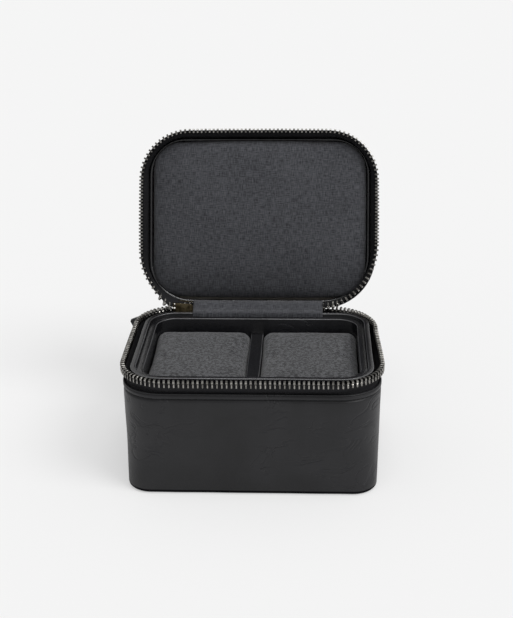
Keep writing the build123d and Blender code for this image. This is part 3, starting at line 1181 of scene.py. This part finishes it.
def make_tapes():
    base_tape = swept(
        "base_zip_tape_cloth", tape_section(), loop_places(tape_gap), tape_cloth,
        gap=tape_gap, bend=base_row_bend, row_more=base_row_corners,
    )
    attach(base_tape, "base")
    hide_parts("base_zip_tape")
    right = corner_place(leads["right"][1])
    left = corner_place(-leads["left"][1])
    section = tape_section(True)
    lid_tape = swept(
        "lid_zip_tape_cloth", section, loop_places(tape_gap, first=right, last=left), tape_cloth,
        gap=tape_gap, lid=True, bend=lid_row_bend, more=lid_corners, row_more=lid_row_corners,
    )
    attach(lid_tape, "lid")
    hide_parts("lid_zip_tape")
    for side, sign, first, last in (("right", 1, 0.0, right), ("left", -1, left, 9.0)):
        reach = leads[side]
        places = loop_places(tape_gap, lead_step, lead_corner_steps, first, last)
        lead = swept(
            f"lid_zip_tape_{side}_end", section, places, tape_cloth,
            gap=tape_gap, bend=lead_bend(reach), more=lid_corners, row_more=lid_row_corners,
        )
        slope_x = sign / (reach[1] - reach[0])
        slope_y = 1 / lead_blend_depth
        scale = slope_x ** 2 + slope_y ** 2
        start = Vector((sign * reach[0], hinge_y + 0.7, zip_z)) * mm
        step = Vector((slope_x / scale, slope_y / scale, 0)) * mm
        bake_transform(lead)


make_tapes()

# Zip teeth
# Nickel teeth punched and clamped on the tapes' corded edges, in two rows that mesh. Each has a
# rounded head and two narrower legs astride the cord.
tooth_pitch = 2.54
tooth_head_half = 0.56
tooth_leg_half = 0.38
tooth_half_depth = 1.3
tooth_top = 0.4
tooth_shoulder = -1.5
tooth_root = -4.0
tooth_slot = 0.5
zip_gap = 39.5


def metal(name, dark, light, gloss):
    """Polished metal with faint casting marks and a little tarnish."""
    finish = Finish(name)
    place = finish.place()
    marks = finish.cloud(place, 1500, 3)
    tarnish = finish.cloud(place, 240, 3, 0.5)
    finish.set(
        Base_Color=finish.between(tarnish.within(0.35, 0.7), light, dark),
        Metallic=1.0,
        Roughness=(marks - 0.5) * 0.16 + gloss,
        Normal=finish.relief(marks, 0.00003),
    )
    return finish.material


nickel = metal("polished nickel", (0.14, 0.135, 0.125), (0.33, 0.32, 0.3), 0.22)


def tooth_item():
    """One tooth about the zip's centre line: X along the zip, Y outwards, Z to the head."""
    right = [
        (tooth_slot, tooth_root),
        (tooth_half_depth - 0.35, tooth_root),
        (tooth_half_depth - 0.05, tooth_root + 0.35),
        (tooth_half_depth - 0.05, tooth_shoulder - 0.5),
        (tooth_half_depth - 0.36, tooth_shoulder - 0.05),
        (tooth_half_depth, tooth_shoulder + 0.4),
        (tooth_half_depth, tooth_top - 0.6),
        (tooth_half_depth - 0.2, tooth_top - 0.2),
        (tooth_half_depth - 0.65, tooth_top),
    ]
    outline = right + [(-y, z) for y, z in reversed(right)]
    outline += [(-tooth_slot, tooth_shoulder - 0.2), (tooth_slot, tooth_shoulder - 0.2)]
    layers = ((-1.0, 0.16), (-0.72, 0.0), (0.72, 0.0), (1.0, 0.16))
    middle_z = (tooth_top + tooth_root) / 2
    verts = []
    for share, shrink in layers:
        for y, z in outline:
            head = smooth_step((z - tooth_shoulder + 0.5) / 0.5)
            half = tooth_leg_half + (tooth_head_half - tooth_leg_half) * head
            verts.append((
                share * half - 0.08 * (1 - head),
                y * (1 - shrink * 0.6 / tooth_half_depth),
                z + shrink * (0.9 if z < middle_z else -0.9),
            ))
    faces = tube_faces(len(layers), len(outline))
    return new_piece("tooth_item", verts, faces, nickel, smooth=False)


def seated_tree():
    """Geometry nodes that put one item on every seat, turned by the seat's two directions."""
    tree = bpy.data.node_groups.new("seated items", "GeometryNodeTree")
    face = tree.interface
    face.new_socket("Seats", in_out="INPUT", socket_type="NodeSocketGeometry")
    face.new_socket("Item", in_out="INPUT", socket_type="NodeSocketObject")
    face.new_socket("Size", in_out="INPUT", socket_type="NodeSocketFloat")
    face.new_socket("Unevenness", in_out="INPUT", socket_type="NodeSocketFloat")
    face.new_socket("Seed", in_out="INPUT", socket_type="NodeSocketInt")
    face.new_socket("Material", in_out="INPUT", socket_type="NodeSocketMaterial")
    face.new_socket("Items", in_out="OUTPUT", socket_type="NodeSocketGeometry")

    def node(kind, **settings):
        made = tree.nodes.new(kind)
        for key, value in settings.items():
            setattr(made, key, value)
        return made

    def link(source, target):
        tree.links.new(source, target)

    given = node("NodeGroupInput")
    along = node("GeometryNodeInputNamedAttribute", data_type="FLOAT_VECTOR")
    along.inputs["Name"].default_value = "along"
    up = node("GeometryNodeInputNamedAttribute", data_type="FLOAT_VECTOR")
    up.inputs["Name"].default_value = "up"
    turned = node("FunctionNodeAxesToRotation", primary_axis="X", secondary_axis="Z")
    link(along.outputs["Attribute"], turned.inputs["Primary Axis"])
    link(up.outputs["Attribute"], turned.inputs["Secondary Axis"])
    chance = node("FunctionNodeRandomValue", data_type="FLOAT_VECTOR")
    chance.inputs[0].default_value = (-1, -1, -1)
    chance.inputs[1].default_value = (1, 1, 1)
    link(given.outputs["Seed"], chance.inputs["Seed"])
    scaled = node("ShaderNodeVectorMath", operation="SCALE")
    link(chance.outputs["Value"], scaled.inputs[0])
    link(given.outputs["Unevenness"], scaled.inputs["Scale"])
    tilt = node("FunctionNodeEulerToRotation")
    link(scaled.outputs[0], tilt.inputs[0])
    both = node("FunctionNodeRotateRotation", rotation_space="LOCAL")
    link(turned.outputs[0], both.inputs[0])
    link(tilt.outputs[0], both.inputs[1])
    item = node("GeometryNodeObjectInfo")
    link(given.outputs["Item"], item.inputs["Object"])
    placed = node("GeometryNodeInstanceOnPoints")
    link(given.outputs["Seats"], placed.inputs["Points"])
    link(item.outputs["Geometry"], placed.inputs["Instance"])
    link(both.outputs[0], placed.inputs["Rotation"])
    link(given.outputs["Size"], placed.inputs["Scale"])
    real = node("GeometryNodeRealizeInstances")
    link(placed.outputs[0], real.inputs[0])
    painted = node("GeometryNodeSetMaterial")
    link(real.outputs[0], painted.inputs["Geometry"])
    link(given.outputs["Material"], painted.inputs["Material"])
    out = node("NodeGroupOutput")
    link(painted.outputs[0], out.inputs[0])
    return tree


seated = seated_tree()


def seat_items(name, seats, item, material, size=1.0, unevenness=0.0, seed=1, smooth=False):
    """A piece of like items, one on each seat of (point, along, up) in millimetres."""
    mesh = bpy.data.meshes.new(name)
    mesh.from_pydata([Vector(point) * mm for point, along, up in seats], [], [])
    for key, index in (("along", 1), ("up", 2)):
        layer = mesh.attributes.new(key, "FLOAT_VECTOR", "POINT")
        for place, seat in enumerate(seats):
            layer.data[place].vector = seat[index]
    piece = bpy.data.objects.new(name, mesh)
    scene.collection.objects.link(piece)
    modifier = piece.modifiers.new("seated", "NODES")
    modifier.node_group = seated
    given = {"Item": item, "Size": size, "Unevenness": unevenness, "Seed": seed, "Material": material}
    for socket in seated.interface.items_tree:
        if socket.in_out == "INPUT" and socket.name in given:
            modifier[socket.identifier] = given[socket.name]
    freeze(piece)
    if smooth:
        for polygon in piece.data.polygons:
            polygon.use_smooth = True
    return piece


def even_places(loop, pitch, first, more=even_corners):
    """Places at an even pitch round a loop of (half width, half depth, radius, gap)."""
    parts = 50
    places = []
    travelled = 0.0
    wanted = first * pitch
    before = loop_point(*loop, 0.0, more)
    for step in range(1, 9 * parts + 1):
        here = loop_point(*loop, min(step / parts, 9.0 - 1e-9), more)
        length = hypot(here[0] - before[0], here[1] - before[1])
        while wanted <= travelled + length:
            places.append((step - 1 + (wanted - travelled) / max(length, 1e-9)) / parts)
            wanted += pitch
        travelled += length
        before = here
    return places


zip_loop = (body_width / 2 + zip_outset, body_depth / 2 + zip_outset, zip_corner, zip_gap)


def zip_point(place, more, bend):
    """Point and heading of a tooth in its row."""
    x, y, out_x, out_y = loop_point(*zip_loop, place, more)
    return bend((x, y, zip_z), out_x, out_y), (out_y, -out_x, 0)


def turned_by(vector, share):
    """A direction on the closed lid, turned with the lid."""
    near = Vector(lid_open((0, hinge_y, zip_z), share))
    return Vector(lid_open((vector[0], hinge_y + vector[1], zip_z + vector[2]), share)) - near


def lid_share(x):
    """How far the lid's row has turned with the lid where it passes x on the back corners."""
    reach = leads["right" if x > 0 else "left"]
    return smooth_step((abs(x) - reach[0]) / (reach[1] - reach[0]))


def make_teeth():
    item = tooth_item()
    base_seats = []
    lid_seats = {"middle": [], "right": [], "left": []}
    for place in even_places(zip_loop, tooth_pitch, 0.25, base_row_corners):
        point, along = zip_point(place, base_row_corners, base_row_bend)
        base_seats.append((point, along, (0, 0, 1)))
    for place in even_places(zip_loop, tooth_pitch, 0.75, base_row_corners):
        point, along = zip_point(place, lid_row_corners, lid_row_bend)
        at_back = point[1] > body_depth / 2 - corner_radius
        share = lid_share(point[0]) if at_back else 1.0
        heading = turned_by(Vector(along) * -1, share)
        side = "right" if point[0] > 0 else "left"
        seats = lid_seats["middle" if share == 1.0 else side]
        seats.append((lid_open(point, share), heading, turned_by((0, 0, -1), share)))
    base_row = seat_items("base_zip_teeth_metal", base_seats, item, nickel)
    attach(base_row, "base")
    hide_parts("base_zip_teeth")
    lid_row = seat_items("lid_zip_teeth_metal", lid_seats["middle"], item, nickel)
    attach(lid_row, "lid")
    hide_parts("lid_zip_teeth")
    for side, sign in (("right", 1), ("left", -1)):
        ends = seat_items(f"lid_zip_teeth_{side}_end", lid_seats[side], item, nickel)
        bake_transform(ends)
    bpy.data.objects.remove(item)


make_teeth()
for node in ("base_zip_stops", "lid_zip_stop"):
    repaint(node, nickel)

# Stitching
# Black lockstitch a few millimetres in from each folded leather edge. It holds the leather, the
# tape and the fold together, and draws a shallow groove.
stitch_pitch = 2.9
stitch_length = 2.35
stitch_radius = 0.24
stitch_dip = 0.42
stitch_sunk = 0.12


def thread_finish():
    finish = Finish("black thread")
    place = finish.place()
    twist = finish.cloud(place, 2600, 2, 0.8)
    finish.set(
        Base_Color=finish.between(twist, (0.003, 0.003, 0.004), (0.009, 0.009, 0.01)),
        Roughness=0.8,
        Normal=finish.relief(twist, 0.0001),
    )
    return finish.material


thread = thread_finish()


def stitch_item():
    """One stitch along X: a short thread whose ends dip into the leather."""
    rings, sides = 7, 8
    verts = []
    for ring in range(rings):
        share = 2 * ring / (rings - 1) - 1
        radius = stitch_radius * (1 - 0.5 * share ** 4)
        dip = -stitch_dip * share ** 4
        for side in range(sides):
            turn = 2 * pi * side / sides
            verts.append((share * stitch_length / 2, radius * cos(turn), dip + radius * sin(turn)))
    return new_piece("stitch_item", verts, tube_faces(rings, sides), thread)


def stitch_seats(inset, height, share, more, bend):
    """Seats all round the box at one height, facing outwards."""
    seats = []
    loop = (body_width / 2 - inset, body_depth / 2 - inset, corner_radius - inset, 0.0)
    for place in even_places(loop, stitch_pitch, 0.5, more):
        x, y, out_x, out_y = loop_point(*loop, place, more)
        point = lid_open(bend((x, y, height), out_x, out_y), share)
        heading = turned_by((out_y, -out_x, 0), share)
        seats.append((point, heading, turned_by((out_x, out_y, 0), share)))
    return seats


def make_stitches():
    item = stitch_item()
    rows = (
        ("base", wall_edge - stitch_drop, 0.0, even_corners, soft_walls(cover_waves)),
        ("lid", lid_edge + stitch_drop, 1.0, lid_corners, soft_walls(cover_waves, lid_stand)),
    )
    for body, height, share, more, bend in rows:
        seats = stitch_seats(stitch_groove - stitch_sunk, height, share, more, bend)
        row = seat_items(
            f"{body}_edge_stitches", seats, item, thread, unevenness=0.05, seed=4, smooth=True,
        )
        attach(row, body)
    bpy.data.objects.remove(item)


make_stitches()

# Hinge strips
# A leather strip closes the back between the ends of the zip, and a strip of the lining cloth
# covers it inside, from behind the lining to behind the tray. Both are shaped as they lie with the lid
# open.
hinge_cloth_half = 39.0
hinge_cloth_thickness = 0.6
hinge_leather_half = 36.3
hinge_leather_thickness = 0.9
hinge_sewn_y = 51.2


def strip(name, line, half_width, thickness, columns, material, wave=0.0):
    """An even strip along a smooth line of (y, z) points, with its length as V."""
    points = smooth_line(line)
    verts, uvs = [], []
    travelled = 0.0
    rows = len(points)
    for row, (y, z) in enumerate(points):
        near = points[max(row - 1, 0)]
        far = points[min(row + 1, rows - 1)]
        length = hypot(far[0] - near[0], far[1] - near[1])
        across = (-(far[1] - near[1]) / length, (far[0] - near[0]) / length)
        if row:
            travelled += hypot(y - points[row - 1][0], z - points[row - 1][1])
        for side in (-1, 1):
            for column in range(columns + 1):
                x = half_width * (2 * column / columns - 1)
                swell = wave * noise.noise(Vector((x / 17.0, y / 9.0, z / 9.0)))
                offset = side * thickness / 2 + swell
                verts.append((x, y + offset * across[0], z + offset * across[1]))
                uvs.append((x, travelled))
    width = columns + 1
    ring = 2 * width
    loop = list(range(width)) + list(range(ring - 1, width - 1, -1))
    faces = []
    for row in range(rows - 1):
        for index in range(ring):
            a, b = loop[index], loop[(index + 1) % ring]
            faces.append((row * ring + a, row * ring + b, (row + 1) * ring + b, (row + 1) * ring + a))
    for row in (0, rows - 1):
        for column in range(columns):
            low = row * ring + column
            faces.append((low, low + 1, low + 1 + width, low + width))
    return new_piece(name, verts, faces, material, uvs), travelled


def smooth_line(line, steps=8):
    """Points on a quadratic spline that the line's runs guide."""
    points = [line[0]]
    for index in range(1, len(line) - 1):
        before, corner, after = line[index - 1], line[index], line[index + 1]
        start = before
        end = after
        if index > 1:
            start = tuple((before[k] + corner[k]) / 2 for k in (0, 1))
        if index < len(line) - 2:
            end = tuple((corner[k] + after[k]) / 2 for k in (0, 1))
        for step in range(1, steps + 1):
            t = step / steps
            points.append(tuple(
                (1 - t) ** 2 * start[k] + 2 * t * (1 - t) * corner[k] + t ** 2 * end[k] for k in (0, 1)
            ))
    return points


def opened_line(*points):
    """Lid points given from the hinge with the lid closed, as (y, z) with the lid open."""
    found = [lid_open((0, hinge_y + behind, zip_z + above)) for behind, above in points]
    return [(y, z) for x, y, z in found]


def make_hinge():
    inner_line = [
        (45.5, 57.0), (45.5, 64.0), (45.6, 67.8), (46.6, 68.75), (48.8, 68.8), (50.6, 69.6),
        (52.3, 70.9), (53.6, 71.6),
        *opened_line((-4.2, 1.6), (-4.15, 4.0), (-4.15, 8.0), (-4.15, 10.5)),
    ]
    cloth, length = strip(
        "hinge_cloth_strip", inner_line, hinge_cloth_half, hinge_cloth_thickness,
        columns=60, material=lining_cloth, wave=0.35,
    )
    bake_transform(cloth)
    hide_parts("hinge_fabric_strip")
    outer_line = [
        (hinge_sewn_y, wall_edge - tape_sewn), (hinge_sewn_y, wall_edge), (52.6, 62.8),
        (hinge_y, 64.8), (hinge_y + 0.1, 67.4), (hinge_y + 0.6, 69.2),
        *opened_line((-0.1, 3.0), (-0.6, 5.6), (-2.1, 7.6), (-2.1, 11.0)),
    ]
    outer, length = strip(
        "hinge_leather_outer", outer_line, hinge_leather_half, hinge_leather_thickness,
        columns=50, material=cover_leather, wave=0.2,
    )
    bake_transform(outer)
    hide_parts("hinge_leather_strip")


make_hinge()

# Slider and pull
# A light gold cast slider waits at the end of the zip beside the hinge. A wire ring in its
# bridge carries a folded leather pull.
# The light gold is the ring's own colour; on the slider's upward faces it is a painted highlight, and
# the darker copy is painted shade
gold = metal("light antique gold", (0.36, 0.29, 0.18), (0.85, 0.76, 0.57), 0.12)
slider_shade_gold = metal("gold with painted shade", (0.11, 0.087, 0.045), (0.33, 0.27, 0.155), 0.3)
slider_highlight_from = 0.5
slider_flat_angle = radians(2)
slider_rounding = 0.28
strap_from = -54.0
strap_run = 21.5
strap_stretch = 2.0
strap_rise = 0.6


def make_slider():
    """The cast slider, with its edges tumbled round, a painted highlight of light gold
    on its upward faces and painted shade of darker gold on the rest.
    """
    slider = node_copy("zip_slider", "zip_slider_cast")
    weld(slider, slider_flat_angle)
    rounding = slider.modifiers.new("rounding", "BEVEL")
    rounding.width = slider_rounding * mm
    rounding.segments = 3
    rounding.limit_method = "ANGLE"
    rounding.angle_limit = radians(35)
    freeze(slider)
    for polygon in slider.data.polygons:
        polygon.use_smooth = True
    slider.data.set_sharp_from_angle(angle=radians(50))
    paint(slider, slider_shade_gold, gold)
    # Upward faces get the painted highlight, the others the painted shade.
    for polygon in slider.data.polygons:
        polygon.material_index = int(polygon.normal.z > slider_highlight_from)
    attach(slider, "slider")
    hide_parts("zip_slider")


make_slider()
repaint("pull_ring", gold)
pull_leather = leather("pull leather", (0.009, 0.009, 0.01), (0.018, 0.018, 0.02), 0.3, 0.4)


def make_strap():
    """The pull, eased out and up towards its end, as worn leather hangs from its ring."""
    strap = node_copy("pull_strap", "pull_strap_leather")
    for vert in strap.data.vertices:
        share = smooth_step((strap_from - vert.co.x / mm) / strap_run)
        vert.co += Vector((-strap_stretch, 0, strap_rise)) * share * mm
    paint(strap, pull_leather)
    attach(strap, "strap")
    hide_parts("pull_strap")


make_strap()
